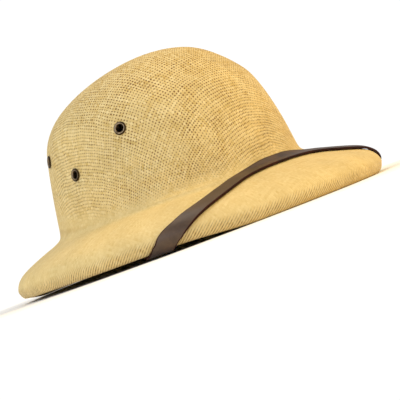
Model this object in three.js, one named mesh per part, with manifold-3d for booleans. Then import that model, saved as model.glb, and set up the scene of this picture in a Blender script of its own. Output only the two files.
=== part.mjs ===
// Pith helmet of pressed woven straw with a leather chin strap worn over the front of the brim.
// Millimetres. +Z is up, the floor is z = 0, the front of the helmet is -Y, the wearer's right is -X.
import * as THREE from 'three';
import Module from 'manifold-3d';

const wasm = await Module();
wasm.setup();
const { Manifold, Mesh } = wasm;

// Driving sizes
const SEGMENTS = 56;          // points round the helmet
const WALL = 2.4;             // pressed straw, crown and brim alike
const GAP = 0.35;             // clearance kept between pieces
const RIM = { half: 154, front: 166, back: 166 };
const SIDE_LIFT = 4;          // the rim stands this much higher at the sides
const HEM = { from: 7, to: 20, thick: 1.2, gap: 0.55 };  // turned-under straw, measured in from the rim
const STRAP = { width: 13, thick: 1.8, gap: 1, foot: 44.5 };  // foot: height its bed leaves the crown at
const EYELET = { hole: 4.0, barrel: 3.65, bore: 3.1, flange: 5.4, back: 4.9 };     // radii
const EYELET_SEAT = 0.45;     // height of the flange's underside off the straw
const EYELET_RISE = 1.4;      // height of the flange's top
const BORE_REACH = 8;         // cutters for holes reach this far past the wall
const RIVET = { head: 4.2, headThick: 1.1, edge: 0.5, crown: 3, shank: 1.6, hole: 1.95, sink: 1.3 };

// Crown sections, top to base: height, half width, reach to the front, reach to the back
const CROWN = [
  { z: 158.5, half: 0, front: 8, back: -8 },
  { z: 157.4, half: 14, front: 22, back: 10.5 },
  { z: 155, half: 28, front: 36.3, back: 28.8 },
  { z: 150.6, half: 43, front: 49.8, back: 49.6 },
  { z: 144.2, half: 56.8, front: 60.2, back: 69.4 },
  { z: 136.2, half: 68.8, front: 69, back: 85.4 },
  { z: 127, half: 78, front: 78, back: 97.2 },
  { z: 115, half: 85.6, front: 87.6, back: 106 },
  { z: 100, half: 90, front: 94.4, back: 111 },
  { z: 84, half: 93.3, front: 99.2, back: 114.8 },
  { z: 68, half: 96.0, front: 102.6, back: 118.2 },
  { z: 52, half: 98.3, front: 104.8, back: 121.2 },
  { z: 43.5, half: 99.6, front: 106.1, back: 122.9 },
];
// Brim: share of the way from crown to rim, height
const BRIM = [
  { share: 0.035, z: 39.2 },
  { share: 0.15, z: 35.7 },
  { share: 0.3, z: 32.5 },
  { share: 0.5, z: 28.1 },
  { share: 0.7, z: 23.2 },
  { share: 0.85, z: 18.6 },
  { share: 0.95, z: 13.3 },
  { share: 1, z: 7.6 },
];
// Rolled rim: distance in from the widest line, height
const ROLL = [
  { inset: 0.5, z: 4.3 },
  { inset: 1.8, z: 1.5 },
  { inset: 3.6, z: 0 },
  { inset: 6.2, z: 0 },
  { inset: 8.0, z: 0.7 },
  { inset: 9.2, z: 2.2 },
];
// Eyelets of one side: bearing from the front in degrees, height
const EYELETS = [
  { name: 'front', bearing: 59.5, z: 102.5 },
  { name: 'low', bearing: 90.5, z: 82.5 },
  { name: 'back', bearing: 117, z: 102.5 },
];
// Strap centre line of one side: bearing, place on the strap bed (see bedKnots), steps to the next
const STRAP_LINE = [
  { bearing: 0, knot: 1.95, steps: 3 },
  { bearing: 9, knot: 2.05, steps: 4 },
  { bearing: 19, knot: 2.6, steps: 4 },
  { bearing: 28.5, knot: 3.6, steps: 4 },
  { bearing: 36.5, knot: 4.75, steps: 4 },
  { bearing: 43, knot: 6.05, steps: 5 },
  { bearing: 47.5, knot: 7.2, steps: 6 },
  { bearing: 51, knot: 8.2, steps: 7 },
  { bearing: 54, knot: 10.3, steps: 8 },
  { bearing: 57, knot: 13, steps: 3 },
  { bearing: 59.5, knot: 15, steps: 2 },
  { bearing: 63, knot: 16, steps: 2 },
  { bearing: 70.5, knot: 17.6, steps: 4 },
  { bearing: 76.5, knot: 19, steps: 5 },
  { bearing: 81, knot: 19.8, steps: 3 },
  { bearing: 84.5, knot: 20.55, steps: 0 },
];
const RIVET_AT = { bearing: 82.3, knot: 20.1 };
// Strap bed under the brim: shares of the way from the roll to the inner corner, then heights up the wall
const UNDER_SHARES = [0.045, 0.13, 0.3, 0.55, 0.8, 1];
const WALL_HEIGHTS = [58, 70, 82];
const CORNER_UP = 0.6;        // rows from the first brim row up to the inner corner

const COLOR = { straw: 0xe3c485, hem: 0xcfae6c, leather: 0x5f4630, brass: 0x5d4a2c, stud: 0x4a3a24 };

const mix = (a, b, t) => a + (b - a) * t;
const rad = (degrees) => (degrees * Math.PI) / 180;

// Section rows from the top of the crown to the inner lip of the rolled rim
const BASE = { half: 100, front: 106.4, back: 123.4 };
const ROWS = [
  ...CROWN.map((r) => [r.z, r.half, r.front, r.back, 0]),
  ...BRIM.map((r) => [
    r.z, mix(BASE.half, RIM.half, r.share), mix(BASE.front, RIM.front, r.share),
    mix(BASE.back, RIM.back, r.share), r.share,
  ]),
  ...ROLL.map((r) => [r.z, RIM.half - r.inset, RIM.front - r.inset, RIM.back - r.inset, 1]),
];
const BRIM_ROW = CROWN.length;
const RIM_ROW = BRIM_ROW + BRIM.length - 1;
const LAST_ROW = ROWS.length - 1;

// Smooth curve through a list of number rows (or points given as arrays)
function through(list, at) {
  const i = Math.max(0, Math.min(Math.floor(at), list.length - 2));
  const t = at - i;
  const [a, b, c, d] = [i - 1, i, i + 1, i + 2].map((k) => list[Math.max(0, Math.min(k, list.length - 1))]);
  return b.map((_, k) => {
    const m = (c[k] - a[k]) / 2;
    const n = (d[k] - b[k]) / 2;
    const e = c[k] - b[k];
    return b[k] + t * (m + t * (3 * e - 2 * m - n + t * (m + n - 2 * e)));
  });
}

function sideLift(angle) {
  const t = Math.max(0, Math.min((Math.abs(Math.sin(angle)) - 0.45) / 0.35, 1));
  return SIDE_LIFT * t * t * (3 - 2 * t);
}

// Outer skin: row place and bearing to a point
function skin(row, angle) {
  const [z, half, front, back, share] = through(ROWS, row);
  return new THREE.Vector3(
    half * Math.sin(angle),
    (back - front) / 2 - ((back + front) / 2) * Math.cos(angle),
    z + share * sideLift(angle),
  );
}

// Unit normal of any such surface, outward for the skin
function normalOf(surface, row, angle) {
  const du = surface(row + 0.02, angle).sub(surface(row - 0.02, angle));
  const dv = surface(row, angle + 0.004).sub(surface(row, angle - 0.004));
  return du.cross(dv).normalize();
}

function offset(surface, row, angle, distance) {
  return surface(row, angle).addScaledVector(normalOf(surface, row, angle), distance);
}

function skinRowAtHeight(z) {
  let low = 0;
  let high = BRIM_ROW;
  for (let k = 0; k < 40; k += 1) {
    const middle = (low + high) / 2;
    if (through(ROWS, middle)[0] > z) low = middle; else high = middle;
  }
  return low;
}

// Row place a given distance in from the rim, for one bearing
function skinRowAtInset(inset, angle) {
  const rim = skin(RIM_ROW, angle);
  let low = BRIM_ROW;
  let high = RIM_ROW;
  for (let k = 0; k < 40; k += 1) {
    const middle = (low + high) / 2;
    const p = skin(middle, angle);
    if (Math.hypot(p.x - rim.x, p.y - rim.y) > inset) low = middle; else high = middle;
  }
  return low;
}

// Closed mesh from corner points and triangles: equal points are joined, outside faces out
function closed(corners, triangles) {
  const seen = new Map();
  const points = [];
  const id = corners.map((p) => {
    const key = [p.x, p.y, p.z].map((v) => Math.round(v * 1e4)).join();
    if (!seen.has(key)) seen.set(key, points.push(p) - 1);
    return seen.get(key);
  });
  const faces = [];
  let volume = 0;
  for (let k = 0; k < triangles.length; k += 3) {
    const [a, b, c] = [id[triangles[k]], id[triangles[k + 1]], id[triangles[k + 2]]];
    if (a !== b && b !== c && a !== c) {
      faces.push(a, b, c);
      volume += points[a].dot(new THREE.Vector3().crossVectors(points[b], points[c]));
    }
  }
  if (volume < 0) faces.reverse();
  const geometry = new THREE.BufferGeometry().setFromPoints(points);
  geometry.setIndex(faces);
  return geometry;
}

// Skin over a grid of points: each line of the grid is a closed loop
function loft(grid, joinEnds) {
  const columns = grid[0].length;
  const faces = [];
  for (let i = 0; i < grid.length - (joinEnds ? 0 : 1); i += 1) {
    const next = (i + 1) % grid.length;
    for (let j = 0; j < columns; j += 1) {
      const k = (j + 1) % columns;
      const [a, b, c, d] = [i * columns + j, next * columns + j, next * columns + k, i * columns + k];
      faces.push(a, b, c, a, c, d);
    }
  }
  return closed(grid.flat(), faces);
}

// Turned piece: loop of [radius, height] pairs, foot point and direction of its axis
function turned(loop, foot, direction, sides) {
  const profile = [...loop, loop[0]].map(([radius, height]) => new THREE.Vector2(radius, height));
  const lathe = new THREE.LatheGeometry(profile, sides);
  lathe.applyQuaternion(new THREE.Quaternion().setFromUnitVectors(new THREE.Vector3(0, 1, 0), direction));
  lathe.translate(foot.x, foot.y, foot.z);
  const place = lathe.attributes.position;
  const corner = (_, k) => new THREE.Vector3().fromBufferAttribute(place, k);
  const corners = Array.from({ length: place.count }, corner);
  return closed(corners, Array.from(lathe.index.array));
}

function cut(geometry, tools) {
  const body = (g) => new Manifold(new Mesh({
    numProp: 3,
    vertProperties: new Float32Array(g.attributes.position.array),
    triVerts: new Uint32Array(g.index.array),
  }));
  const mesh = tools.reduce((whole, tool) => whole.subtract(body(tool)), body(geometry)).getMesh();
  const result = new THREE.BufferGeometry();
  result.setAttribute('position', new THREE.BufferAttribute(new Float32Array(mesh.vertProperties), 3));
  result.setIndex(new THREE.BufferAttribute(new Uint32Array(mesh.triVerts), 1));
  return result;
}

const BEARINGS = Array.from({ length: SEGMENTS }, (_, j) => (2 * Math.PI * j) / SEGMENTS);

function shellBlank() {
  const places = [];
  for (let row = 0; row <= LAST_ROW; row += 1) places.push(row);
  const ring = (row, depth) => BEARINGS.map((angle) => {
    if (row === 0) return skin(0, 0).add(new THREE.Vector3(0, 0, -depth));
    return depth ? offset(skin, row, angle, -depth) : skin(row, angle);
  });
  return loft([
    ...places.map((row) => ring(row, 0)),
    ...places.reverse().map((row) => ring(row, WALL)),
  ], false);
}

// Straw turned under the rim and laid against the underside of the brim
function brimHem() {
  const top = WALL + HEM.gap;
  const bottom = top + HEM.thick;
  const loop = [
    [HEM.from, top], [(HEM.from + HEM.to) / 2, top], [HEM.to, top],
    [HEM.to, bottom], [(HEM.from + HEM.to) / 2, bottom], [HEM.from, bottom],
  ];
  return loft(loop.map(([inset, depth]) => BEARINGS.map(
    (angle) => offset(skin, skinRowAtInset(inset, angle), angle, -depth),
  )), true);
}

// Bed the strap lies on, for one bearing. Knots: 0 foot of the crown, 1 across the corner,
// 2 to 8 down the brim to the rim, 9 to 13 round the roll, then straight under the brim
// to the inner foot of the crown at 19 and up the inner wall.
function bedKnots(angle) {
  const wall = (row) => offset(skin, row, angle, -WALL);
  const foot = skin(skinRowAtHeight(STRAP.foot), angle);
  const first = skin(BRIM_ROW + 1, angle);
  const knots = [foot, foot.clone().lerp(first, 0.5)];
  for (let row = BRIM_ROW + 1; row < LAST_ROW; row += 1) knots.push(skin(row, angle));
  const under = knots[knots.length - 1];
  const corner = wall(BRIM_ROW - CORNER_UP);
  UNDER_SHARES.forEach((t) => knots.push(under.clone().lerp(corner, t)));
  WALL_HEIGHTS.forEach((z) => knots.push(wall(skinRowAtHeight(z))));
  return knots.map((p) => p.toArray());
}

function bed(knot, angle) {
  return new THREE.Vector3(...through(bedKnots(angle), knot));
}

// Walk over the bed from a place, keeping a heading, and return the place reached
function walk(start, heading, length) {
  const place = { ...start };
  const way = heading.clone();
  const steps = 4;
  for (let k = 0; k < steps; k += 1) {
    const { knot, angle } = place;
    const u = bed(knot + 0.02, angle).sub(bed(knot - 0.02, angle)).divideScalar(0.04);
    const v = bed(knot, angle + 0.002).sub(bed(knot, angle - 0.002)).divideScalar(0.004);
    const normal = u.clone().cross(v).normalize();
    way.addScaledVector(normal, -way.dot(normal)).normalize();
    const [uu, uv, vv, uw, vw] = [u.dot(u), u.dot(v), v.dot(v), u.dot(way), v.dot(way)];
    const determinant = uu * vv - uv * uv;
    place.knot += (((uw * vv - vw * uv) / determinant) * length) / steps;
    place.angle += (((vw * uu - uw * uv) / determinant) * length) / steps;
  }
  return place;
}

// Place on the strap's centre line: 0 at the front, one more for each line of its table
function strapPlace(t) {
  const line = STRAP_LINE.map((s) => [rad(s.bearing), s.knot]);
  const mirrored = [[-line[1][0], line[1][1]], ...line];
  const [angle, knot] = through(mirrored, 1 + Math.abs(t));
  return { angle: Math.sign(t) * angle, knot };
}

function strapBlank() {
  const across = [-0.5, -0.27, 0, 0.27, 0.5];
  const half = STRAP_LINE.flatMap(({ steps }, i) => Array.from({ length: steps }, (_, k) => i + k / steps));
  half.push(STRAP_LINE.length - 1);
  const stations = [...half.slice(1).reverse().map((t) => -t), ...half];
  const sections = stations.map((t) => {
    const here = strapPlace(t);
    const [before, after] = [strapPlace(t - 0.05), strapPlace(t + 0.05)];
    const along = bed(after.knot, after.angle).sub(bed(before.knot, before.angle));
    const side = along.cross(normalOf(bed, here.knot, here.angle)).normalize();
    const places = across.map((s) => walk(here, side.clone().multiplyScalar(s < 0 ? -1 : 1),
      Math.abs(s) * STRAP.width));
    const face = (lift) => places.map((p) => offset(bed, p.knot, p.angle, lift));
    return [face(STRAP.gap), face(STRAP.gap + STRAP.thick)];
  });
  const loop = ([low, high]) => [...low, ...high.slice().reverse()];
  const seam = ([low, high]) => low.map((p, k) => p.clone().lerp(high[k], 0.5));
  const end = (section) => loop([seam(section), seam(section)]);
  return loft([end(sections[0]), ...sections.map(loop), end(sections[sections.length - 1])], false);
}

function eyeletPlace({ bearing, z }, side) {
  const row = skinRowAtHeight(z);
  const angle = side * rad(bearing);
  return { foot: skin(row, angle), out: normalOf(skin, row, angle) };
}

function eyelet(spot, side) {
  const { foot, out } = eyeletPlace(spot, side);
  const { barrel, bore, flange, back } = EYELET;
  const inside = -WALL - GAP - 0.4;
  const lip = 0.6;
  return turned([
    [bore, EYELET_RISE - lip], [bore + lip, EYELET_RISE], [flange - lip, EYELET_RISE],
    [flange, EYELET_SEAT], [barrel, EYELET_SEAT], [barrel, inside],
    [back, inside], [bore + lip, inside - lip], [bore, inside - lip / 2],
  ], foot, out, 12);
}

function disc(radius, from, to, foot, direction, sides) {
  return turned([[0, from], [radius, from], [radius, to], [0, to]], foot, direction, sides);
}

function rivetPlace(side) {
  const angle = side * rad(RIVET_AT.bearing);
  return { foot: bed(RIVET_AT.knot, angle), out: normalOf(bed, RIVET_AT.knot, angle) };
}

function rivet(side) {
  const { foot, out } = rivetPlace(side);
  const seat = STRAP.gap + STRAP.thick + GAP + 0.1;
  return turned([
    [0, -RIVET.sink + GAP], [RIVET.shank, -RIVET.sink + GAP], [RIVET.shank, seat], [RIVET.head, seat],
    [RIVET.head, seat + RIVET.edge], [RIVET.crown, seat + RIVET.headThick], [0, seat + RIVET.headThick],
  ], foot, out, 12);
}

const SIDES = [{ name: 'right', sign: -1 }, { name: 'left', sign: 1 }];
const piece = (name, geometry, color, roughness, metalness) => {
  geometry.computeVertexNormals();
  const mesh = new THREE.Mesh(geometry, new THREE.MeshStandardMaterial({ color, roughness, metalness }));
  mesh.name = name;
  return mesh;
};

const eyeletHoles = SIDES.flatMap(({ sign }) => EYELETS.map((spot) => {
  const { foot, out } = eyeletPlace(spot, sign);
  return disc(EYELET.hole, -BORE_REACH, BORE_REACH, foot, out, 16);
}));
const rivetHoles = (from, to) => SIDES.map(({ sign }) => {
  const { foot, out } = rivetPlace(sign);
  return disc(RIVET.hole, from, to, foot, out, 12);
});

const group = new THREE.Group();
group.name = 'pith_helmet';
group.add(piece('helmet_shell', cut(shellBlank(), [...eyeletHoles, ...rivetHoles(-RIVET.sink, 4)]),
  COLOR.straw, 0.85, 0));
group.add(piece('brim_hem', brimHem(), COLOR.hem, 0.9, 0));
group.add(piece('chin_strap', cut(strapBlank(), rivetHoles(-BORE_REACH, BORE_REACH)),
  COLOR.leather, 0.55, 0));
for (const { name, sign } of SIDES) {
  for (const spot of EYELETS) {
    group.add(piece(`eyelet_${name}_${spot.name}`, eyelet(spot, sign), COLOR.brass, 0.4, 0.9));
  }
  group.add(piece(`strap_rivet_${name}`, rivet(sign), COLOR.stud, 0.4, 0.9));
}

export default group;
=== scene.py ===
"""Pith helmet of pressed woven straw with a leather chin strap over the front of the brim.

The helmet stands on its rim on a pale floor. Tables are in millimetres and the scene is in
metres. The front of the helmet is -Y and the wearer's right is -X.
"""
import logging
import math
from dataclasses import dataclass, field
from enum import Enum
from functools import partial
from typing import Callable, Iterable, Sequence

import bpy
from bpy.types import Material, Node, NodeSocket, NodeTree, Object
from mathutils import Euler, Matrix, Vector


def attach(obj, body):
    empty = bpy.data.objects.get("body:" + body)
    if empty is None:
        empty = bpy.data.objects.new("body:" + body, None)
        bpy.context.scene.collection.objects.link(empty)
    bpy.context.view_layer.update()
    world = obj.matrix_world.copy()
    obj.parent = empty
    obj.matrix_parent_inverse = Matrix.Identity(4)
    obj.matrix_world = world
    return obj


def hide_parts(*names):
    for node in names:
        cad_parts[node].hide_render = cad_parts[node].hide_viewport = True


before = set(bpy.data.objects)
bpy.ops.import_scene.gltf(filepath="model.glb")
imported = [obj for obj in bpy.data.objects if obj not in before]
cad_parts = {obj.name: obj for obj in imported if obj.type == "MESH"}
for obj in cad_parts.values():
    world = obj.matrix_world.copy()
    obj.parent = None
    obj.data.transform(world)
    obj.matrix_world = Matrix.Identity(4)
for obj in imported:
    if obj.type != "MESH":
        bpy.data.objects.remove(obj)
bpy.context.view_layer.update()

LOG = logging.getLogger("pith_helmet")
MM = 0.001
ROW_STEP = 0.02                             # slopes are measured over this many rows
TURN_STEP = 0.004                           # and this many radians
OUT_RISE = 0.03                             # lets the top of the crown count as facing out
BORE_POINTS = 48
SOFT_EDGE = 50                              # edges up to this many degrees are shaded smooth

Pair = tuple[float, float]
Triple = tuple[float, float, float]
Rows = tuple[tuple[float, ...], ...]
Spot = tuple[Vector, Vector]                # foot in metres, direction
Surface = Callable[[float, float], Vector]  # point by row and bearing
Inputs = dict[object, object] | Sequence[object]
AddNode = Callable[..., Node]


class Side(Enum):
    """Side of the helmet as worn, with the sign of its X."""

    RIGHT = -1
    LEFT = 1


class Face(Enum):
    """Which way a thin sheet's faces should look, with the Z of that direction."""

    OUT = 0
    UP = 1
    DOWN = -1


# Small helpers

def linear(hex_colour: str) -> tuple[float, float, float, float]:
    """Turn an sRGB hex colour into linear RGBA.

    Args:
        hex_colour: six hex digits, with or without a leading hash.

    Returns:
        Linear red, green, blue and an alpha of one.
    """
    digits = hex_colour.lstrip("#")
    channels = [int(digits[k:k + 2], 16) / 255 for k in (0, 2, 4)]
    red, green, blue = (c / 12.92 if c <= 0.04045 else ((c + 0.055) / 1.055) ** 2.4 for c in channels)
    return red, green, blue, 1.0


def smooth(value: float) -> float:
    """Ease a number from 0 to 1 with level ends."""
    share = max(0.0, min(value, 1.0))
    return share * share * (3 - 2 * share)


def through(rows: Sequence[Sequence[float]], at: float) -> list[float]:
    """Read a smooth curve that passes through rows of numbers.

    Args:
        rows: equal-length rows, one for each whole place.
        at: place along the rows, whole or between.

    Returns:
        The row of numbers at that place.
    """
    last = len(rows) - 1
    i = max(0, min(math.floor(at), last - 1))
    t = at - i
    a, b, c, d = (rows[max(0, min(k, last))] for k in (i - 1, i, i + 1, i + 2))
    result = []
    for before, start, end, after in zip(a, b, c, d):
        leave, arrive, rise = (end - before) / 2, (after - start) / 2, end - start
        result.append(start + t * (leave + t * (3 * rise - 2 * leave - arrive
                                                + t * (leave + arrive - 2 * rise))))
    return result


def select_only(obj: Object) -> None:
    """Make one object the whole selection and the active one.

    Args:
        obj: object to select.
    """
    bpy.ops.object.select_all(action="DESELECT")
    obj.select_set(True)
    bpy.context.view_layer.objects.active = obj


def apply_modifier(obj: Object, kind: str, **settings: object) -> None:
    """Add a modifier with its settings and apply it.

    Args:
        obj: mesh object that is changed.
        kind: Blender's modifier type.
        settings: modifier properties by name.
    """
    select_only(obj)
    modifier = obj.modifiers.new(kind.title(), kind)
    for name, value in settings.items():
        setattr(modifier, name, value)
    bpy.ops.object.modifier_apply(modifier=modifier.name)


def start_edit(obj: Object, select: str = "SELECT") -> None:
    """Enter edit mode on one object with all or none of it selected.

    Args:
        obj: mesh object to edit.
        select: SELECT for all, DESELECT for none.
    """
    select_only(obj)
    bpy.ops.object.mode_set(mode="EDIT")
    bpy.ops.mesh.select_mode(type="VERT")
    bpy.ops.mesh.select_all(action=select)


def end_edit() -> None:
    """Leave edit mode."""
    bpy.ops.object.mode_set(mode="OBJECT")


def face_towards(obj: Object, face: Face, within: float = math.inf) -> None:
    """Turn an open sheet's faces one way.

    Args:
        obj: sheet whose faces are made to agree.
        face: OUT for away from the helmet's axis, UP for the sky, DOWN for the floor.
        within: the faces that decide are this near to the middle plane, in metres.
    """
    start_edit(obj)
    bpy.ops.mesh.normals_make_consistent(inside=False)
    end_edit()
    votes = 0.0
    for polygon in obj.data.polygons:
        x, y, _ = polygon.center
        wanted = Vector((x, y, OUT_RISE)) if face is Face.OUT else Vector((0, 0, face.value))
        if abs(x) <= within:
            votes += polygon.normal.dot(wanted) * polygon.area
    if votes < 0:
        start_edit(obj)
        bpy.ops.mesh.flip_normals()
        end_edit()


def shade_smooth(obj: Object) -> None:
    """Shade smooth, keeping sharp edges."""
    select_only(obj)
    bpy.ops.object.shade_smooth_by_angle(angle=math.radians(SOFT_EDGE))


def settle(obj: Object) -> None:
    """Put an object's place, turn and size into its mesh."""
    select_only(obj)
    bpy.ops.object.transform_apply(location=True, rotation=True, scale=True)


def join_frame(obj: Object, node: str) -> None:
    """Give a finished piece its place in the frame.

    Args:
        obj: finished piece, with its materials.
        node: CAD node that this piece stands for.
    """
    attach(obj, "root")
    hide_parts(node)
    LOG.info("%s: %d faces", obj.name, len(obj.data.polygons))


# Form of the helmet, shared by its pieces

@dataclass(frozen=True)
class HelmetForm:
    """Outer form of the helmet as oval sections, in millimetres."""

    wall: float = 2.4
    side_lift: float = 4.0
    lift_from: float = 0.45                 # sine of the bearing where the lift starts
    lift_over: float = 0.35
    base: Triple = (100, 106.4, 123.4)      # half width, front, back
    rim: Triple = (154, 166, 166)
    # Crown: height, half width, reach to the front, reach to the back
    crown: Rows = (
        (158.5, 0, 8, -8), (157.4, 14, 22, 10.5), (155, 28, 36.3, 28.8), (150.6, 43, 49.8, 49.6),
        (144.2, 56.8, 60.2, 69.4), (136.2, 68.8, 69, 85.4), (127, 78, 78, 97.2),
        (115, 85.6, 87.6, 106), (100, 90, 94.4, 111), (84, 93.3, 99.2, 114.8),
        (68, 96.0, 102.6, 118.2), (52, 98.3, 104.8, 121.2), (43.5, 99.6, 106.1, 122.9),
    )
    # Brim: share of the way to the rim, height
    brim: Rows = (
        (0.035, 39.2), (0.15, 35.7), (0.3, 32.5), (0.5, 28.1), (0.7, 23.2), (0.85, 18.6),
        (0.95, 13.3), (1, 7.6),
    )
    # Rolled rim: distance in from the widest line, height
    roll: Rows = (
        (0.5, 4.3), (1.8, 1.5), (3.6, 0), (6.2, 0), (8.0, 0.7), (9.2, 2.2),
    )

    @property
    def brim_row(self) -> int:
        """First row of the brim."""
        return len(self.crown)

    @property
    def rim_row(self) -> int:
        """Row of the widest line."""
        return self.brim_row + len(self.brim) - 1

    @property
    def last_row(self) -> int:
        """Row of the roll's inner lip."""
        return self.rim_row + len(self.roll)

    def rows(self) -> list[list[float]]:
        """List the sections from the top of the crown to the lip of the roll.

        Returns:
            Height, half width, front, back and share of the lift of each section.
        """
        result = [[z, half, front, back, 0.0] for z, half, front, back in self.crown]
        for share, z in self.brim:
            result.append([z, *(b + (r - b) * share for b, r in zip(self.base, self.rim)), share])
        for inset, z in self.roll:
            result.append([z, *(r - inset for r in self.rim), 1.0])
        return result

    def lift(self, angle: float) -> float:
        """Height that the rim gains at a bearing."""
        return self.side_lift * smooth((abs(math.sin(angle)) - self.lift_from) / self.lift_over)

    def point(self, row: float, angle: float) -> Vector:
        """Find a point of the outer skin.

        Args:
            row: place along the sections.
            angle: bearing from the front in radians, positive to the wearer's left.

        Returns:
            The point in millimetres.
        """
        z, half, front, back, share = through(ROWS, row)
        return Vector((half * math.sin(angle), (back - front) / 2 - (back + front) / 2 * math.cos(angle),
                       z + share * self.lift(angle)))

    def row_at_height(self, z: float) -> float:
        """Find the crown row at a height by halving.

        Args:
            z: height in millimetres.

        Returns:
            The row, whole or between.
        """
        low, high, halvings = 0.0, float(self.brim_row), 40
        for _ in range(halvings):
            middle = (low + high) / 2
            low, high = (middle, high) if through(ROWS, middle)[0] > z else (low, middle)
        return low


FORM = HelmetForm()
ROWS = FORM.rows()


def slopes(surface: Surface, row: float, angle: float) -> tuple[Vector, Vector]:
    """Measure how a surface runs.

    Args:
        surface: point by row and bearing.
        row: place along the surface.
        angle: bearing in radians.

    Returns:
        Change of the point for one row and for one radian.
    """
    along = surface(row + ROW_STEP, angle) - surface(row - ROW_STEP, angle)
    around = surface(row, angle + TURN_STEP) - surface(row, angle - TURN_STEP)
    return along / (2 * ROW_STEP), around / (2 * TURN_STEP)


def normal_of(surface: Surface, row: float, angle: float) -> Vector:
    """Unit normal of a surface given by row and bearing, outward for the skin."""
    along, around = slopes(surface, row, angle)
    return along.cross(around).normalized()


def offset(surface: Surface, row: float, angle: float, distance: float) -> Vector:
    """Point a distance off a surface, along its normal."""
    return surface(row, angle) + normal_of(surface, row, angle) * distance


@dataclass(frozen=True)
class Ring:
    """One oval of a ring-by-ring form, in metres."""

    half: float
    length: float
    centre: float
    z: float

    @classmethod
    def oval(cls, half: float, front: float, back: float, z: float) -> "Ring":
        """Make a ring from a half width, reaches to front and back, and a height, in millimetres."""
        return cls(half * MM, (front + back) / 2 * MM, (back - front) / 2 * MM, z * MM)


def pull_rings(name: str, rings: Sequence[Ring], count: int, close_end: bool) -> Object:
    """Draw an oval and extrude it ring by ring.

    Args:
        name: name of the new object.
        rings: ovals in order.
        count: points in each oval.
        close_end: merge the last oval into one point.

    Returns:
        The open sheet, with its points in the order of the rings.
    """
    bpy.ops.object.select_all(action="DESELECT")
    bpy.ops.mesh.primitive_circle_add(vertices=count, radius=1.0, fill_type="NOTHING", location=(0, 0, 0))
    obj = bpy.context.active_object
    obj.name = obj.data.name = name
    start_edit(obj)
    first = rings[0]
    bpy.ops.transform.resize(value=(first.half, first.length, 1), center_override=(0, 0, 0))
    bpy.ops.transform.translate(value=(0, first.centre, first.z))
    for before, after in zip(rings, rings[1:]):
        step = (0, after.centre - before.centre, after.z - before.z)
        bpy.ops.mesh.extrude_region_move(TRANSFORM_OT_translate={"value": step})
        bpy.ops.transform.resize(value=(after.half / before.half, after.length / before.length, 1),
                                 center_override=(0, after.centre, after.z))
    if close_end:
        bpy.ops.mesh.merge(type="CENTER")
    end_edit()
    return obj


def place_on_axis(obj: Object, foot: Vector, direction: Vector) -> None:
    """Stand a piece modelled on the Z axis in its place, and settle it.

    Args:
        obj: piece to move.
        foot: where its origin goes, in metres.
        direction: where its Z axis points.
    """
    obj.rotation_mode = "QUATERNION"
    obj.rotation_quaternion = Vector((0, 0, 1)).rotation_difference(direction)
    obj.location = foot
    settle(obj)


@dataclass(frozen=True)
class Bore:
    """Round hole from a foot point along a direction, in metres."""

    foot: Vector
    direction: Vector
    radius: float
    start: float
    end: float


def cut_bores(obj: Object, bores: Iterable[Bore]) -> None:
    """Cut round bores into a piece.

    Args:
        obj: piece that is cut.
        bores: holes to cut, all at once.
    """
    cutters = []
    for bore in bores:
        bpy.ops.object.select_all(action="DESELECT")
        bpy.ops.mesh.primitive_cylinder_add(vertices=BORE_POINTS, radius=bore.radius,
                                            depth=bore.end - bore.start, location=(0, 0, 0))
        cutter = bpy.context.active_object
        place_on_axis(cutter, bore.foot + bore.direction * ((bore.start + bore.end) / 2), bore.direction)
        cutters.append(cutter)
    for cutter in cutters:
        cutter.select_set(True)
    bpy.context.view_layer.objects.active = cutters[0]
    bpy.ops.object.join()
    tool = bpy.context.active_object
    apply_modifier(obj, "BOOLEAN", object=tool, operation="DIFFERENCE", solver="EXACT")
    bpy.data.objects.remove(tool, do_unlink=True)


# Finishes

def feed(node: Node, inputs: Inputs) -> None:
    """Set or link a node's sockets.

    Args:
        node: node whose sockets are fed.
        inputs: by socket name or number, or in socket order: a value, an output socket, or a node
            whose first output in use is taken.
    """
    for key, value in inputs.items() if isinstance(inputs, dict) else enumerate(inputs):
        if isinstance(value, Node):
            value = next(socket for socket in value.outputs if socket.enabled)
        if isinstance(value, NodeSocket):
            node.id_data.links.new(value, node.inputs[key])
        else:
            node.inputs[key].default_value = value


def add_node(tree: NodeTree, kind: str, inputs: Inputs = (), stops: Iterable[tuple[float, str]] = (),
             **settings: object) -> Node:
    """Add a shader node with its settings, values and links.

    Args:
        tree: node tree that takes the node.
        kind: node type, without the word ShaderNode before it.
        inputs: what its sockets are fed with.
        stops: places and sRGB hex colours, for a colour ramp.
        settings: node properties by name.

    Returns:
        The new node.
    """
    node = tree.nodes.new("ShaderNode" + kind)
    for name, value in settings.items():
        setattr(node, name, value)
    for index, (place, colour) in enumerate(stops):
        elements = node.color_ramp.elements
        element = elements[index] if index < len(elements) else elements.new(place)
        element.position = place
        element.color = linear(colour)
    feed(node, inputs)
    return node


def new_material(name: str) -> tuple[Material, AddNode, Node]:
    """Start a node material.

    Args:
        name: name of the finish.

    Returns:
        The material, add_node for its tree, and its shader.
    """
    material = bpy.data.materials.new(name)
    material.use_nodes = True
    tree = material.node_tree
    return material, partial(add_node, tree), tree.nodes["Principled BSDF"]


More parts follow.
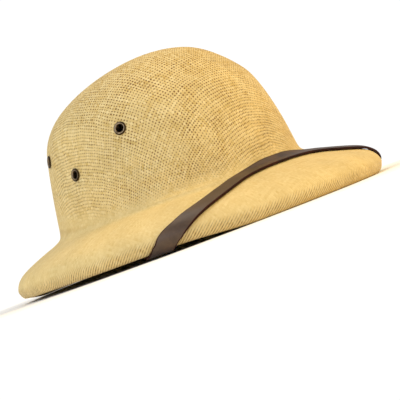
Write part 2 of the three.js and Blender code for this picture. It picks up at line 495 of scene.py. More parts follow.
@dataclass(frozen=True)
class WovenStraw:
    """Twisted paper straw in plain weave, stiffened and pressed over a form.

    It gives pale flat threads of uneven tone with painted shade in the holes between them on the crown,
    pressed nearly shut on the brim, and a soft dry sheen.
    """

    name: str = "woven_paper_straw"
    dark: str = "#CFAF66"
    middle: str = "#DFC484"
    pale: str = "#EDD79C"
    # colour of the painted shade in the holes between the threads and in the dashes on the rim
    hole: str = "#704402"
    tone_places: Triple = (0.3, 0.48, 0.68)
    tone_spread: Pair = (0.6, 0.35)      # gain with openness, least
    pitch_mm: float = 2.55
    wobble_mm: float = 26.0
    wobble_threads: float = 1.6
    thread_run: Triple = (7.31, 0.16, 3.7)      # change of tone by lane, length, layer
    blotch_mm: float = 45.0
    blotch_noise: Pair = (0.3, 0.7)
    blotch_tone: Pair = (0.93, 1.06)
    # Openness of the weave, by length over the cloth from the top and by distance to the side
    open_to_mm: float = 160.0
    shut_from_mm: float = 182.0
    open_share: float = 1.0
    shut_share: float = 0.25
    sides_mm: Pair = (45.0, 120.0)
    side_share: float = 0.92
    # Holes: noise to width, by hole and by patch, each as scale, gain and least
    ragged: Triple = (0.9, 1.1, 0.18)
    patchy: Triple = (0.13, 0.9, 0.6)
    hole_core: float = 0.4
    hole_shade: Pair = (0.9, 0.2)
    hole_depth: float = 0.5
    # Slanting threads where the cloth rolls over the rim, drawn as dashes of painted shade between them
    streak_shade: float = 0.85
    streaks_round: int = 390
    streak_slant_mm: float = 2.6
    streak_noise: Triple = (420.0, 160.0, 0.0)  # patches in a turn and in a metre
    streak_gain: Pair = (2.4, -0.5)
    streak_reach_mm: Pair = (-4.5, 3.0)
    # Soft creases round the foot of the crown, by distance past the rim
    crease_mm: float = 5.0
    crease_width_mm: float = 10.0
    crease_round: float = 1.3
    crease_start_mm: Pair = (-118.0, -88.0)
    crease_end_mm: Pair = (-66.0, -54.0)
    roughness: float = 0.6
    gloss: float = 0.2
    bump_mm: float = 0.45
    bump_share: float = 0.6
    bump_open: Pair = (0.7, 0.3)

    def build(self) -> Material:
        """Make the material, which reads the piece's UV maps of the cloth and of the rim.

        Returns:
            The straw material.
        """
        material, add, shader = new_material(self.name)
        cloth = add("UVMap", uv_map="weave")
        edge = add("UVMap", uv_map="edge")
        threads = self.threads(add, cloth)
        openness = self.openness(add, cloth)
        turns = add("VectorMath", {0: threads, "Scale": math.pi}, operation="SCALE")
        waves = add("VectorMath", (turns,), operation="SINE")
        over_u, over_v, _ = add("SeparateXYZ", (waves,)).outputs
        over = add("Math", (over_u, over_v), operation="MULTIPLY")
        straw = self.straw(add, threads, over, openness)
        across = add("VectorMath", (waves,), operation="ABSOLUTE")
        gap = self.gaps(add, threads, across, openness)

        # Painted shade: the hole colour goes into the holes, deeper where the weave is open, and into the
        # dashes on the rim
        depth = add("Math", (openness, *self.hole_shade), operation="MULTIPLY_ADD")
        shade = add("Math", (gap, depth), operation="MULTIPLY", use_clamp=True)
        painted_shade = add("Math", (shade, self.rim_streak_shade(add, edge)), operation="MAXIMUM")
        woven = add("Mix", {"Factor": painted_shade, "A": straw, "B": linear(self.hole)}, data_type="RGBA")
        blotch = add("TexNoise", {"Vector": cloth, "Scale": 1 / (self.blotch_mm * MM), "Detail": 3.0})
        wash = add("MapRange", (blotch, *self.blotch_noise, *self.blotch_tone))
        toned = add("VectorMath", {0: woven, "Scale": wash}, operation="SCALE")

        sunk = add("Math", (gap, self.hole_depth), operation="MULTIPLY")
        height = add("Math", (self.relief(add, across, over), sunk), operation="SUBTRACT")
        raised = add("Math", (openness, *self.bump_open), operation="MULTIPLY_ADD")
        pressed = add("Math", (height, raised), operation="MULTIPLY")
        creased = add("Bump", {"Height": self.foot_creases(add, edge), "Distance": self.crease_mm * MM,
                               "Strength": 1.0})
        bump = add("Bump", {"Height": pressed, "Distance": self.bump_mm * MM, "Strength": self.bump_share,
                            "Normal": creased})
        feed(shader, {"Base Color": toned, "Normal": bump, "Roughness": self.roughness,
                      "Specular IOR Level": self.gloss})
        return material

    def threads(self, add: AddNode, cloth: Node) -> Node:
        """Count the threads both ways over the cloth, with a slow wander.

        Args:
            add: add_node for the straw's tree.
            cloth: place on the flat cloth.

        Returns:
            Thread numbers, whole at the edge of a thread.
        """
        noise = add("TexNoise", {"Vector": cloth, "Scale": 1 / (self.wobble_mm * MM), "Detail": 2.0},
                    noise_dimensions="2D")
        centred = add("VectorMath", (noise.outputs["Color"], (0.5, 0.5, 0.5)), operation="SUBTRACT")
        even = add("VectorMath", {0: cloth, "Scale": 1 / (self.pitch_mm * MM)}, operation="SCALE")
        wander = (self.wobble_threads, self.wobble_threads, 0)
        return add("VectorMath", (centred, wander, even), operation="MULTIPLY_ADD")

    def openness(self, add: AddNode, cloth: Node) -> Node:
        """Say how open the weave is: open on the crown, less so at its sides, shut on the brim.

        Args:
            add: add_node for the straw's tree.
            cloth: place on the flat cloth.

        Returns:
            Openness from 0 to 1.
        """
        reach = add("VectorMath", (cloth,), operation="LENGTH")
        sideways = add("Math", (add("SeparateXYZ", (cloth,)).outputs["X"],), operation="ABSOLUTE")
        sides = (mm * MM for mm in self.sides_mm)
        crown = add("MapRange", (sideways, *sides, self.open_share, self.side_share),
                    interpolation_type="SMOOTHSTEP")
        return add("MapRange", (reach, self.open_to_mm * MM, self.shut_from_mm * MM, crown, self.shut_share),
                   interpolation_type="SMOOTHSTEP")

    def straw(self, add: AddNode, threads: Node, over: Node, openness: Node) -> Node:
        """Colour the thread on top, with a tone drawn out along its length.

        Args:
            add: add_node for the straw's tree.
            threads: thread numbers.
            over: above 0 where the first layer is on top.
            openness: how open the weave is, which spreads the tones.

        Returns:
            Colour of the straw.
        """
        u, v, _ = add("SeparateXYZ", (threads,)).outputs
        tones = []
        for layer, (across, along) in enumerate(((u, v), (v, u))):
            lane = add("CombineXYZ", (add("Math", (across,), operation="FLOOR"), along, layer))
            spot = add("VectorMath", (lane, self.thread_run), operation="MULTIPLY")
            tones.append(add("TexNoise", {"Vector": spot, "Scale": 1.0, "Detail": 3.0, "Roughness": 0.6}))
        on_top = add("Math", (over, 0.0), operation="GREATER_THAN")
        tone = add("Mix", {"Factor": on_top, "A": tones[1], "B": tones[0]}, data_type="FLOAT")
        centred = add("Math", (tone, 0.5), operation="SUBTRACT")
        spread = add("Math", (openness, *self.tone_spread), operation="MULTIPLY_ADD")
        evened = add("Math", (centred, spread, 0.5), operation="MULTIPLY_ADD")
        return add("ValToRGB", (evened,), stops=zip(self.tone_places, (self.dark, self.middle, self.pale)))

    def gaps(self, add: AddNode, threads: Node, across: Node, openness: Node) -> Node:
        """Open ragged holes at the corners of the threads, wider in patches.

        Args:
            add: add_node for the straw's tree.
            threads: thread numbers.
            across: 0 at the edges of a thread and 1 along its middle, both ways.
            openness: how open the weave is.

        Returns:
            1 in a hole and 0 on a thread.
        """
        width = openness
        for scale, gain, least in (self.ragged, self.patchy):
            noise = add("TexNoise", {"Vector": threads, "Scale": scale, "Detail": 1.0})
            share = add("Math", (noise, gain, least), operation="MULTIPLY_ADD")
            width = add("Math", (width, share), operation="MULTIPLY")
        core = add("Math", (width, self.hole_core), operation="MULTIPLY")
        across_u, across_v, _ = add("SeparateXYZ", (across,)).outputs
        solid = add("Math", (across_u, across_v), operation="MAXIMUM")
        return add("MapRange", (solid, width, core, 0.0, 1.0), interpolation_type="SMOOTHSTEP")

    def relief(self, add: AddNode, across: Node, over: Node) -> Node:
        """Round the threads, over and under by turns.

        Args:
            add: add_node for the straw's tree.
            across: 0 at the edges of a thread and 1 along its middle, both ways.
            over: above 0 where the first layer is on top.

        Returns:
            Height of the threads.
        """
        layers = []
        for edge, rise in zip(add("SeparateXYZ", (across,)).outputs, (0.5, -0.5)):
            rounded = add("Math", (edge,), operation="SQRT")
            share = add("Math", (over, rise, 0.5), operation="MULTIPLY_ADD")
            layers.append(add("Math", (rounded, share), operation="MULTIPLY"))
        return add("Math", layers, operation="MAXIMUM")

    def rim_streak_shade(self, add: AddNode, edge: Node) -> Node:
        """Paint shade in slanting dashes between the threads where the cloth rolls over the rim.

        Args:
            add: add_node for the straw's tree.
            edge: turns round the helmet and distance past the rim.

        Returns:
            Strength of the painted shade in the dashes.
        """
        run = (2 * math.pi * self.streaks_round, 2 * math.pi / (self.streak_slant_mm * MM), 0)
        phase = add("VectorMath", (edge, run), operation="DOT_PRODUCT")
        wave = add("Math", (phase,), operation="SINE")
        spot = add("VectorMath", (edge, self.streak_noise), operation="MULTIPLY")
        noise = add("TexNoise", {"Vector": spot, "Scale": 1.0, "Detail": 2.0})
        uneven = add("Math", (noise, *self.streak_gain), operation="MULTIPLY_ADD")
        dash = add("Math", (wave, uneven), operation="MULTIPLY", use_clamp=True)
        past = add("SeparateXYZ", (edge,)).outputs["Y"]
        ends = (mm * MM for mm in self.streak_reach_mm)
        near = add("MapRange", (past, *ends, 0.0, self.streak_shade), interpolation_type="SMOOTHSTEP")
        return add("Math", (dash, near), operation="MULTIPLY")

    def foot_creases(self, add: AddNode, edge: Node) -> Node:
        """Raise the soft level creases that pressing leaves round the foot of the crown.

        Args:
            add: add_node for the straw's tree.
            edge: turns round the helmet and distance past the rim.

        Returns:
            Height of the creases.
        """
        turns, past, _ = add("SeparateXYZ", (edge,)).outputs
        angle = add("Math", (turns, 2 * math.pi), operation="MULTIPLY")
        circle = [add("Math", (angle,), operation=wave) for wave in ("COSINE", "SINE")]
        sizes = (self.crease_round, self.crease_round, 1 / (self.crease_width_mm * MM))
        spot = add("VectorMath", (add("CombineXYZ", (*circle, past)), sizes), operation="MULTIPLY")
        height = add("TexNoise", {"Vector": spot, "Scale": 1.0, "Detail": 1.0})
        for (start, end), ends in ((self.crease_start_mm, (0.0, 1.0)), (self.crease_end_mm, (1.0, 0.0))):
            share = add("MapRange", (past, start * MM, end * MM, *ends), interpolation_type="SMOOTHSTEP")
            height = add("Math", (height, share), operation="MULTIPLY")
        return height


@dataclass(frozen=True)
class StrapLeather:
    """Brown split leather with a pressed finish and a cut edge stained dark.

    It gives a fine pebbled grain, a soft sheen along the band and darker streaks of handling.
    """

    name: str
    dark: str
    light: str
    roughness: float = 0.42
    rough_spread: Pair = (-0.1, 0.14)
    sheen: float = 0.5
    tone_mm: float = 14.3
    tone_places: Pair = (0.32, 0.7)
    grain_mm: float = 0.9
    grain_depth_mm: float = 0.15
    grain_share: float = 0.22

    def build(self) -> Material:
        """Make the material, which reads Object coordinates.

        Returns:
            The leather material.
        """
        material, add, shader = new_material(self.name)
        place = add("TexCoord").outputs["Object"]
        grain = add("TexVoronoi", {"Vector": place, "Scale": 1 / (self.grain_mm * MM)}, feature="SMOOTH_F1")
        tone = add("TexNoise", {"Vector": place, "Scale": 1 / (self.tone_mm * MM), "Detail": 5.0,
                                "Roughness": 0.65})
        spread = (self.roughness + change for change in self.rough_spread)
        feed(shader, {
            "Base Color": add("ValToRGB", (tone,), stops=zip(self.tone_places, (self.dark, self.light))),
            "Roughness": add("MapRange", (tone, 0.0, 1.0, *spread)),
            "Normal": add("Bump", {"Height": grain, "Strength": self.grain_share,
                                   "Distance": self.grain_depth_mm * MM}),
            "Specular IOR Level": self.sheen})
        return material


@dataclass(frozen=True)
class AntiqueBrass:
    """Stamped brass darkened by a chemical bath and rubbed bright on its high parts.

    It gives a cloudy brown metal with paler, smoother flecks.
    """

    name: str
    dark: str
    light: str
    roughness: float = 0.36
    rough_spread: Pair = (0.12, -0.1)
    stain_mm: float = 1.92
    tone_places: Pair = (0.35, 0.68)

    def build(self) -> Material:
        """Make the material, which reads Object coordinates.

        Returns:
            The metal material.
        """
        material, add, shader = new_material(self.name)
        place = add("TexCoord").outputs["Object"]
        stain = add("TexNoise", {"Vector": place, "Scale": 1 / (self.stain_mm * MM), "Detail": 4.0,
                                 "Roughness": 0.6})
        spread = (self.roughness + change for change in self.rough_spread)
        feed(shader, {
            "Base Color": add("ValToRGB", (stain,), stops=zip(self.tone_places, (self.dark, self.light))),
            "Roughness": add("MapRange", (stain, 0.0, 1.0, *spread)),
            "Metallic": 1.0})
        return material


# Pieces

@dataclass
class EyeletSet:
    """Six pressed brass vents, three to a side, in millimetres."""

    hole: float = 4.0
    bore_reach: float = 8.0
    points_round: int = 48
    # Name, bearing in degrees and height
    spots: tuple[tuple[str, float, float], ...] = (
        ("front", 59.5, 102.5), ("low", 90.5, 82.5), ("back", 117, 102.5),
    )
    # Loop of radius and height off the outer wall, from the throat over the flange to the back
    loop: Rows = (
        (3.1, -2.9), (3.1, 0.35), (3.3, 0.95), (3.75, 1.35), (4.3, 1.42), (4.85, 1.22), (5.25, 0.85),
        (5.4, 0.45), (5.2, 0.38), (3.7, 0.4), (3.66, -2.8), (4.9, -2.85), (4.85, -3.2), (4.2, -3.7),
        (3.5, -3.75), (3.1, -3.3),
    )
    throat_below: float = 4.2

    def places(self, side: Side) -> dict[str, Spot]:
        """Find each eyelet of a side.

        Args:
            side: wearer's side.

        Returns:
            Spot name to foot point in metres and outward direction.
        """
        result = {}
        for name, bearing, z in self.spots:
            row, angle = FORM.row_at_height(z), side.value * math.radians(bearing)
            result[name] = (FORM.point(row, angle) * MM, normal_of(FORM.point, row, angle))
        return result

    def bores(self) -> list[Bore]:
        """List the bores that the eyelets need in the wall."""
        return [Bore(foot, out, self.hole * MM, -self.bore_reach * MM, self.bore_reach * MM)
                for side in Side for foot, out in self.places(side).values()]

    def build(self, rim: Material, throat: Material) -> None:
        """Model one eyelet and stand a copy at each place.

        Args:
            rim: darkened metal of the flange.
            throat: metal rubbed bright at the mouth of the hole.
        """
        rings = [Ring.oval(r, r, r, h) for r, h in self.loop]
        pattern = pull_rings("eyelet", [*rings, rings[0]], self.points_round, False)
        start_edit(pattern)
        bpy.ops.mesh.remove_doubles(threshold=0.01 * MM)
        bpy.ops.mesh.normals_make_consistent(inside=False)
        end_edit()
        apply_modifier(pattern, "SUBSURF", levels=1, render_levels=1)
        pattern.data.materials.append(rim)
        pattern.data.materials.append(throat)
        for polygon in pattern.data.polygons:
            radius = math.hypot(polygon.center.x, polygon.center.y)
            polygon.material_index = int(radius < self.throat_below * MM)
        shade_smooth(pattern)
        for side in Side:
            for spot, (foot, out) in self.places(side).items():
                piece = pattern.copy()
                piece.data = pattern.data.copy()
                piece.name = piece.data.name = f"vent_eyelet_{side.name.lower()}_{spot}"
                bpy.context.collection.objects.link(piece)
                place_on_axis(piece, foot, out)
                join_frame(piece, f"eyelet_{side.name.lower()}_{spot}")
        bpy.data.objects.remove(pattern, do_unlink=True)


@dataclass
class HelmetShell:
    """Crown, brim and rolled rim in one pressed straw wall, in millimetres."""

    points_round: int = 144
    steps_per_row: int = 3
    top_row: float = 0.06                   # row of the smallest oval, which is closed to a point

    def places(self) -> list[float]:
        """List the rows from the lip of the roll to the top."""
        steps = range(FORM.last_row * self.steps_per_row)
        return [max(self.top_row, FORM.last_row - k / self.steps_per_row) for k in steps] + [self.top_row]

    def build(self, straw: Material, bores: Sequence[Bore]) -> Object:
        """Model the shell.

        Args:
            straw: woven straw material.
            bores: holes for the eyelets and the strap's studs.

        Returns:
            The finished shell.
        """
        places = self.places()
        rings = []
        for row in places:
            z, half, front, back, _ = through(ROWS, row)
            rings.append(Ring.oval(half, front, back, z))
        shell = pull_rings("helmet_straw_shell", rings, self.points_round, True)
        self.raise_sides(shell, places)
        reach = self.lay_weave(shell, rings)
        self.mark_edge(shell, reach)
        face_towards(shell, Face.OUT)
        apply_modifier(shell, "SOLIDIFY", thickness=FORM.wall * MM, offset=-1.0, use_even_offset=True)
        cut_bores(shell, bores)
        shade_smooth(shell)
        shell.data.materials.append(straw)
        join_frame(shell, "helmet_shell")
        return shell

    def raise_sides(self, shell: Object, places: Sequence[float]) -> None:
        """Lift the rim at the sides, fading towards the crown.

        Args:
            shell: open skin with its points in ring order.
            places: row of each ring.
        """
        group = shell.vertex_groups.new(name="rim_lift")
        for index, vertex in enumerate(shell.data.vertices):
            ring = min(index // self.points_round, len(places) - 1)
            _, half, _, _, share = through(ROWS, places[ring])
            if share > 0 and half > 0:
                angle = math.asin(max(-1.0, min(1.0, vertex.co.x / (half * MM))))
                group.add([index], min(1.0, share) * FORM.lift(angle) / FORM.side_lift, "REPLACE")
        apply_modifier(shell, "DISPLACE", direction="Z", mid_level=0.0, strength=FORM.side_lift * MM,
                       vertex_group="rim_lift")
        shell.vertex_groups.clear()

    def lay_weave(self, shell: Object, rings: Sequence[Ring]) -> list[float]:
        """Map the cloth flat from the top of the crown, in metres, on a UV map.

        Args:
            shell: open skin with its points in ring order.
            rings: ovals of the skin.

        Returns:
            Length over the skin from the top to each point.
        """
        count = self.points_round
        vertices = shell.data.vertices
        reach = [0.0] * len(vertices)
        last_ring = (len(vertices) - 1) // count - 1
        for index in range(last_ring * count + count - 1, -1, -1):
            inner = index + count if index < last_ring * count else len(vertices) - 1
            reach[index] = reach[inner] + (vertices[index].co - vertices[inner].co).length
        flat = []
        for index, vertex in enumerate(vertices):
            ring = rings[min(index // count, last_ring)]
            angle = math.atan2(vertex.co.x / ring.half, (vertex.co.y - ring.centre) / ring.length)
            flat.append((reach[index] * math.sin(angle), reach[index] * math.cos(angle)))
        layer = shell.data.uv_layers.new(name="weave")
        for loop in shell.data.loops:
            layer.data[loop.index].uv = flat[loop.vertex_index]
        return reach

    def mark_edge(self, shell: Object, reach: Sequence[float]) -> None:
        """Map turns round the helmet and distance past the rim's widest line on a second UV map.

        Args:
            shell: open skin with its points in ring order.
            reach: length over the skin from the top to each point, in metres.
        """
        count = self.points_round
        rim_ring = (FORM.last_row - FORM.rim_row) * self.steps_per_row
        layer = shell.data.uv_layers.new(name="edge")
        for polygon in shell.data.polygons:
            columns = [index % count for index in polygon.vertices]
            crosses = max(columns) - min(columns) > count / 2
            for corner, index, column in zip(polygon.loop_indices, polygon.vertices, columns):
                turn = (column + count if crosses and column < count / 2 else column) / count
                layer.data[corner].uv = (turn, reach[index] - reach[rim_ring * count + column])


@dataclass
class BrimHem:
    """Straw turned under the rim and laid against the underside of the brim, in millimetres."""

    start: float = 7.0
    end: float = 20.0
    thick: float = 1.2
    gap: float = 0.4
    bevel: float = 0.3
    below: float = 10.0                     # height from which it is laid up against the brim
    weave_shift: float = 60.0               # moves its threads out of line with the brim's
    rings: int = 8
    points_round: int = 216
    ragged: float = 0.7
    # Waves of the cut edge: count, start in radians, size
    waves: Rows = ((9, 0.3, 0.6), (23, 1.7, 0.35), (61, 0.4, 0.3))

    def build(self, straw: Material, shell: Object) -> None:
        """Model the hem against the finished shell.

        Args:
            straw: woven straw material of the hem.
            shell: brim that the hem lies under.
        """
        rings = []
        for k in range(self.rings):
            inset = self.start + (self.end - self.start) * k / (self.rings - 1)
            rings.append(Ring.oval(*(r - inset for r in FORM.rim), self.below))
        hem = pull_rings("brim_turned_hem", rings, self.points_round, False)
        self.fray(hem)
        layer = hem.data.uv_layers.new(name="weave")
        for loop in hem.data.loops:
            place = hem.data.vertices[loop.vertex_index].co.xy
            layer.data[loop.index].uv = place + place.normalized() * (self.weave_shift * MM)
        apply_modifier(hem, "SHRINKWRAP", target=shell, wrap_method="PROJECT", wrap_mode="ABOVE_SURFACE",
                       use_project_z=True, use_positive_direction=True, use_negative_direction=False,
                       offset=self.gap * MM)
        face_towards(hem, Face.DOWN)
        apply_modifier(hem, "SOLIDIFY", thickness=self.thick * MM, offset=1.0, use_even_offset=True)
        apply_modifier(hem, "BEVEL", width=self.bevel * MM, segments=2, limit_method="ANGLE")
        shade_smooth(hem)
        hem.data.materials.append(straw)
        join_frame(hem, "brim_hem")

    def fray(self, hem: Object) -> None:
        """Let the inner edge wander as a cut cloth edge does.

        Args:
            hem: flat ring with its points in ring order.
        """
        first = (self.rings - 2) * self.points_round
        for vertex in hem.data.vertices[first:]:
            share = 1.0 if vertex.index >= first + self.points_round else 0.5
            angle = math.atan2(vertex.co.y, vertex.co.x)
            wander = sum(size * math.sin(turns * angle + start) for turns, start, size in self.waves)
            direction = Vector((vertex.co.x, vertex.co.y, 0)).normalized()
            vertex.co += direction * (wander * self.ragged * share * MM)


@dataclass
class ChinStrap:
    """Leather band over the front of the brim, round the rim and up inside the crown, in millimetres."""

    width: float = 13.0
    thick: float = 1.8
    gap: float = 0.75
    bevel: float = 0.35
    bevel_from: float = math.radians(60)
    stained: float = 0.7                    # dark margin along both edges
    foot: float = 44.5                      # height at which its bed leaves the crown
    corner_up: float = 0.6                  # rows from the brim up to where its bed meets the inner wall
    steps: int = 9
    across: int = 9
    walk_steps: int = 5
    along_step: float = 0.05                # lines of the table over which its direction is measured
    # Centre line of one side: bearing in degrees, place on the bed
    line: Rows = (
        (0, 1.95), (9, 2.05), (19, 2.6), (28.5, 3.6), (36.5, 4.75), (43, 6.05), (47.5, 7.2),
        (51, 8.2), (54, 10.3), (57, 13), (59.5, 15), (63, 16), (70.5, 17.6), (76.5, 19),
        (81, 19.8), (84.5, 20.55),
    )
    stud: Pair = (82.3, 20.1)
    stud_hole: float = 1.95
    stud_bore: Pair = (-4.0, 8.0)           # through the strap, from and to a height off the inner wall
    wall_bore: Pair = (-1.3, 4.0)           # blind, in the inner wall
    under_shares: tuple[float, ...] = (0.045, 0.13, 0.3, 0.55, 0.8, 1)
    wall_heights: tuple[float, ...] = (58, 70, 82)
    table_step: float = math.radians(0.5)
    beds: dict[int, list[list[float]]] = field(default_factory=dict)

    def knots(self, angle: float) -> list[list[float]]:
        """List the bed's points at a bearing.

        Args:
            angle: bearing in radians.

        Returns:
            Points from the crown's foot over the brim and under it to the inner wall.
        """
        def wall(row: float) -> Vector:
            """Point of the inner wall."""
            return offset(FORM.point, row, angle, -FORM.wall)

        foot = FORM.point(FORM.row_at_height(self.foot), angle)
        first = FORM.point(FORM.brim_row + 1, angle)
        points = [foot, foot.lerp(first, 0.5)]
        points += [FORM.point(row, angle) for row in range(FORM.brim_row + 1, FORM.last_row)]
        under, corner = points[-1], wall(FORM.brim_row - self.corner_up)
        points += [under.lerp(corner, share) for share in self.under_shares]
        points += [wall(FORM.row_at_height(z)) for z in self.wall_heights]
        return [list(p) for p in points]

    def bed(self, knot: float, angle: float) -> Vector:
        """Find a point of the bed, from a table of bearings.

        Args:
            knot: place along the bed.
            angle: bearing in radians.

        Returns:
            The point in millimetres.
        """
        place = angle / self.table_step
        low = math.floor(place)
        ends = []
        for index in (low, low + 1):
            if index not in self.beds:
                self.beds[index] = self.knots(index * self.table_step)
            ends.append(Vector(through(self.beds[index], knot)))
        return ends[0].lerp(ends[1], place - low)

    def walk(self, knot: float, angle: float, heading: Vector, length: float) -> tuple[float, float]:
        """Walk over the bed from a place, keeping a heading.

        Args:
            knot: start along the bed.
            angle: start bearing.
            heading: direction to keep.
            length: distance to go, in millimetres.

        Returns:
            Knot and bearing reached.
        """
        way = heading.copy()
        for _ in range(self.walk_steps):
            u, v = slopes(self.bed, knot, angle)
            normal = u.cross(v).normalized()
            way = (way - normal * way.dot(normal)).normalized()
            uu, uv, vv, uw, vw = u.dot(u), u.dot(v), v.dot(v), u.dot(way), v.dot(way)
            scale = length / self.walk_steps / (uu * vv - uv * uv)
            knot += (uw * vv - vw * uv) * scale
            angle += (vw * uu - uw * uv) * scale
        return knot, angle

    def centre(self, place: float) -> tuple[float, float]:
        """Find a point of the centre line.

        Args:
            place: 0 at the front, and one more or less for each line of the table.

        Returns:
            Knot and bearing.
        """
        half = [(math.radians(bearing), knot) for bearing, knot in self.line]
        rows = [(-half[1][0], half[1][1]), *half]
        angle, knot = through(rows, 1 + abs(place))
        return knot, math.copysign(angle, place) if place else 0.0

    def studs(self) -> list[Spot]:
        """Find the stud at each end.

        Returns:
            Foot in metres and direction of each.
        """
        bearing, knot = self.stud
        angles = [side.value * math.radians(bearing) for side in Side]
        return [(self.bed(knot, angle) * MM, normal_of(self.bed, knot, angle)) for angle in angles]

    def bores(self, reach: Pair) -> list[Bore]:
        """List the studs' holes over a reach off the inner wall."""
        start, end = (height * MM for height in reach)
        return [Bore(foot, out, self.stud_hole * MM, start, end) for foot, out in self.studs()]

    def build(self, leather: Material, edge: Material) -> None:
        """Model the band from a grid laid along its route.

        Args:
            leather: face of the band.
            edge: cut edge of the band.
        """
        length = 2 * (len(self.line) - 1) * self.steps
        bpy.ops.object.select_all(action="DESELECT")
        bpy.ops.mesh.primitive_grid_add(x_subdivisions=length, y_subdivisions=self.across - 1, size=2.0)
        strap = bpy.context.active_object
        strap.name = strap.data.name = "chin_strap_leather"
        strap.data.materials.append(leather)
        strap.data.materials.append(edge)
        self.lay(strap)
        face_towards(strap, Face.UP, self.width * MM)
        apply_modifier(strap, "SOLIDIFY", thickness=self.thick * MM, offset=1.0, use_even_offset=True,
                       material_offset_rim=1)
        apply_modifier(strap, "BEVEL", width=self.bevel * MM, segments=2, limit_method="ANGLE",
                       angle_limit=self.bevel_from)
        cut_bores(strap, self.bores(self.stud_bore))
        shade_smooth(strap)
        join_frame(strap, "chin_strap")

    def lay(self, strap: Object) -> None:
        """Lay a flat grid along the route and mark its stained margins.

        Args:
            strap: grid from -1 to 1 both ways, its X along the band.
        """
        reach = len(self.line) - 1
        outer = 1 - 2 / (self.across - 1)
        for polygon in strap.data.polygons:
            polygon.material_index = int(abs(polygon.center.y) > outer)
        stations: dict[float, tuple[float, float, Vector]] = {}
        for vertex in strap.data.vertices:
            place = round(vertex.co.x * reach * self.steps) / self.steps
            if place not in stations:
                knot, angle = self.centre(place)
                before, after = (self.centre(place + step) for step in (-self.along_step, self.along_step))
                along = self.bed(*after) - self.bed(*before)
                stations[place] = (knot, angle, along.cross(normal_of(self.bed, knot, angle)).normalized())
            knot, angle, side = stations[place]
            across, half = abs(vertex.co.y), self.width / 2
            length = half if across > (1 + outer) / 2 else (half - self.stained) * across / outer
            knot, angle = self.walk(knot, angle, side * (1 if vertex.co.y >= 0 else -1), length)
            vertex.co = offset(self.bed, knot, angle, self.gap) * MM


@dataclass
class StrapStuds:
    """Plain studs that hold the strap's ends to the inner wall, in millimetres."""

    shank: float = 1.6
    head: float = 4.2
    foot: float = -0.95
    seat: float = 3.0
    points_round: int = 32
    # Head: share of its radius and height off the seat, from its edge to its top
    dome: Rows = (
        (0.952, 0), (1, 0.25), (0.94, 0.62), (0.72, 0.95), (0.35, 1.12), (0.012, 1.15),
    )

    def build(self, metal: Material, places: Sequence[Spot]) -> None:
        """Model a stud at each place.

        Args:
            metal: darkened brass.
            places: foot and direction of each stud.
        """
        profile = [(self.shank, self.foot), (self.shank, self.seat)]
        profile += [(self.head * share, self.seat + height) for share, height in self.dome]
        rings = [Ring.oval(r, r, r, h) for r, h in profile]
        for side, (foot, out) in zip(Side, places):
            stud = pull_rings(f"strap_stud_{side.name.lower()}", rings, self.points_round, True)
            start_edit(stud, "DESELECT")
            bpy.ops.mesh.select_non_manifold()
            bpy.ops.mesh.edge_face_add()
            bpy.ops.mesh.select_all(action="SELECT")
            bpy.ops.mesh.normals_make_consistent(inside=False)
            end_edit()
            shade_smooth(stud)
            place_on_axis(stud, foot, out)
            stud.data.materials.append(metal)
            join_frame(stud, f"strap_rivet_{side.name.lower()}")


# Studio

@dataclass(frozen=True)
class Lamp:
    """Round soft light: place and size in metres, power in watts."""

    name: str
    place: tuple[float, float, float]
    size: float
    power: float
    colour: str


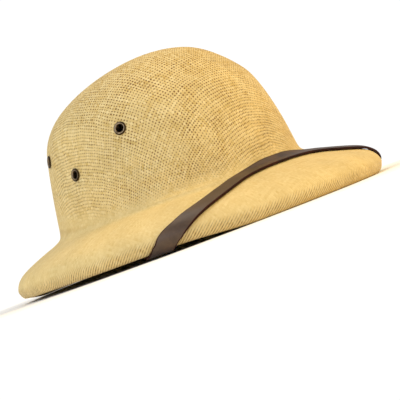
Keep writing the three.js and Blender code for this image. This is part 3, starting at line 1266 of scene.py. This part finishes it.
@dataclass
class Studio:
    """Pale floor, soft light and the camera, in metres."""

    target: Triple = (0.0, 0.0, 0.06)
    distance: float = 1.1
    azimuth: float = -41.0
    elevation: float = -2.0
    roll: float = 20.6
    focal_px: float = 1318.0
    image_px: float = 400.0
    target_px: Pair = (176.9, 169.9)
    sensor_mm: float = 36.0
    floor_size: float = 8.0
    floor_z: float = -0.0004
    floor_cloud: float = 1 / 3
    floor_tones: tuple[tuple[float, str], ...] = ((0.3, "#F6F5F3"), (0.7, "#FAF9F7"))
    floor_fade: Pair = (0.4, 0.9)
    glow_reach: Pair = (0.165, 0.3)
    floor_glow: float = 0.35
    room_light: float = 0.5
    room_seen: float = 1.05
    white: str = "#FFFFFF"
    # A warm key at the front left of the helmet, and soft fills
    lamps: tuple[Lamp, ...] = (
        Lamp("key", (0.95, -1.25, 1.2), 0.7, 22.5, "#FFDA8E"),
        Lamp("fill", (-1.6, 0.0, 0.8), 1.4, 11.5, "#E4EEFF"),
        Lamp("top", (-0.1, 0.5, 1.9), 1.4, 10.0, "#FFF6E6"),
    )

    def build(self) -> None:
        """Set the floor, the light, the world and the camera."""
        self.floor()
        self.lights()
        self.room()
        self.camera()

    def floor(self) -> None:
        """Lay a plain pale floor that fades out far from the helmet and glows white, as painted light, away
        from its foot.
        """
        bpy.ops.object.select_all(action="DESELECT")
        bpy.ops.mesh.primitive_plane_add(size=self.floor_size, location=(0, 0, self.floor_z))
        floor = bpy.context.active_object
        floor.name = floor.data.name = "pale_floor"
        settle(floor)
        material, add, shader = new_material("matt_white_paper")
        place = add("TexCoord").outputs["Object"]
        cloud = add("TexNoise", {"Vector": place, "Scale": 1 / self.floor_cloud})
        away = add("VectorMath", (place,), operation="LENGTH")
        feed(shader, {
            "Base Color": add("ValToRGB", (cloud,), stops=self.floor_tones),
            "Alpha": add("MapRange", (away, *self.floor_fade, 1.0, 0.0), interpolation_type="SMOOTHSTEP"),
            # Painted light: the floor glows white, from none at the helmet's foot to full a little way out
            "Emission Color": linear(self.white),
            "Emission Strength": add("MapRange", (away, *self.glow_reach, 0.0, self.floor_glow)),
            "Roughness": 0.9})
        floor.data.materials.append(material)

    def lights(self) -> None:
        """Hang the lamps and aim them at the helmet."""
        for lamp in self.lamps:
            light = bpy.data.lights.new(lamp.name, "AREA")
            light.shape = "DISK"
            light.size = lamp.size
            light.energy = lamp.power
            light.color = linear(lamp.colour)[:3]
            hung = bpy.data.objects.new(lamp.name, light)
            hung.location = lamp.place
            aim = Vector(self.target) - Vector(lamp.place)
            hung.rotation_euler = aim.to_track_quat("-Z", "Y").to_euler()
            bpy.context.collection.objects.link(hung)

    def room(self) -> None:
        """Set a white room that looks brighter than it lights."""
        world = bpy.data.worlds.new("white_room")
        bpy.context.scene.world = world
        world.use_nodes = True
        tree = world.node_tree
        seen = add_node(tree, "LightPath").outputs["Is Camera Ray"]
        strength = add_node(tree, "MapRange", (seen, 0.0, 1.0, self.room_light, self.room_seen))
        feed(tree.nodes["Background"], {"Color": linear(self.white), "Strength": strength})
        bpy.context.scene.view_settings.view_transform = "Standard"

    def camera(self) -> None:
        """Stand the camera at the photograph's bearing and roll, just above the floor."""
        azimuth, elevation, roll = (math.radians(a) for a in (self.azimuth, self.elevation, self.roll))
        back = Vector((math.sin(azimuth) * math.cos(elevation), -math.cos(azimuth) * math.cos(elevation),
                       math.sin(elevation)))
        right = Vector((math.cos(azimuth), math.sin(azimuth), 0))
        up = back.cross(right)
        level = Matrix((right, up, back)).transposed()
        # Aim so that the target falls on its place in the frame
        rolled = level @ Matrix.Rotation(-roll, 3, "Z")
        x = (self.target_px[0] - self.image_px / 2) / self.focal_px
        y = (self.image_px / 2 - self.target_px[1]) / self.focal_px
        aim = Euler((math.atan(-y), math.atan(x), 0)).to_matrix()
        lens = bpy.data.cameras.new("view")
        lens.sensor_width = self.sensor_mm
        lens.lens = self.focal_px / self.image_px * self.sensor_mm
        lens.dof.use_dof = False
        camera = bpy.data.objects.new("view", lens)
        camera.matrix_world = Matrix.Translation(Vector(self.target) + back * self.distance) @ (
            (rolled @ aim).to_4x4())
        bpy.context.collection.objects.link(camera)
        bpy.context.scene.camera = camera


def main() -> None:
    """Build the finishes and the pieces, then the studio."""
    logging.basicConfig(level=logging.INFO, format="%(name)s %(message)s")
    straw = WovenStraw().build()
    # The hem's straw is a darker copy of the shell's straw: painted shade under the brim
    shaded_hem_straw = WovenStraw(name="woven_paper_straw_hem_shaded", dark="#B48B48", middle="#C9A463", pale="#DABB80",
                           streak_shade=0.0).build()
    leather = StrapLeather("brown_strap_leather", "#38271A", "#5A432D").build()
    edge = StrapLeather("stained_leather_edge", "#220A05", "#3A160C", roughness=0.55, sheen=0.12).build()
    brass = AntiqueBrass("antique_brass", "#20180E", "#524026").build()
    rubbed = AntiqueBrass("rubbed_brass", "#6C5B45", "#A8957B").build()
    stud_brass = AntiqueBrass("dark_stud_brass", "#2A2013", "#5E482A").build()

    eyelets, strap = EyeletSet(), ChinStrap()
    shell = HelmetShell().build(straw, [*eyelets.bores(), *strap.bores(strap.wall_bore)])
    BrimHem().build(shaded_hem_straw, shell)
    eyelets.build(brass, rubbed)
    strap.build(leather, edge)
    StrapStuds().build(stud_brass, strap.studs())
    Studio().build()


if __name__ == "__main__":
    main()
